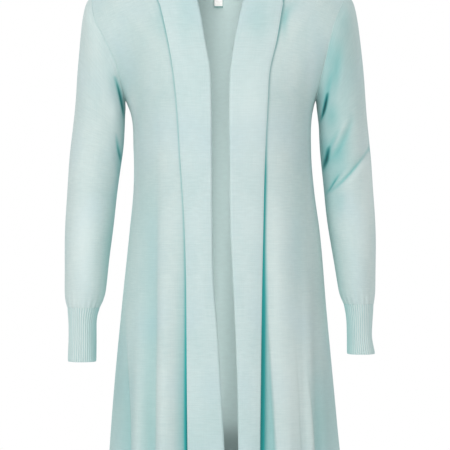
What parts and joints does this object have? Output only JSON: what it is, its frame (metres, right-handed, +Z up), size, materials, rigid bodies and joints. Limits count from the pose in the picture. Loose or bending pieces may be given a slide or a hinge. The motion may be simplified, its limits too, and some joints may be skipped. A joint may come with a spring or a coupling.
{
  "type": "open-front cardigan",
  "caption": "Long open-front fine-knit cardigan with a shawl collar folded outward to the hem, long set-in sleeves and ribbed cuffs, hollow as worn.",
  "frame": {"origin": "between the two neck points, at the height where the shoulder seams meet the collar", "axes": "+Z up from the hem to the collar, -Y toward the open front, +X toward the wearer's left"},
  "size_m": [0.4903, 0.2609, 0.8658],
  "materials": {
    "jersey": "fine pale aqua jersey knit, matt",
    "rib": "pale aqua one-by-one rib knit, matt",
    "band": "pale aqua firm fine knit, matt",
    "label": "blank white woven tape"
  },
  "bodies": {
    "root": {"back_panel": "jersey", "front_right_panel": "jersey", "front_left_panel": "jersey", "sleeve_right": "jersey", "sleeve_left": "jersey", "cuff_right": "rib", "cuff_left": "rib", "band_right": "band", "band_left": "band", "neck_label": "label"}
  },
  "joints": []
}
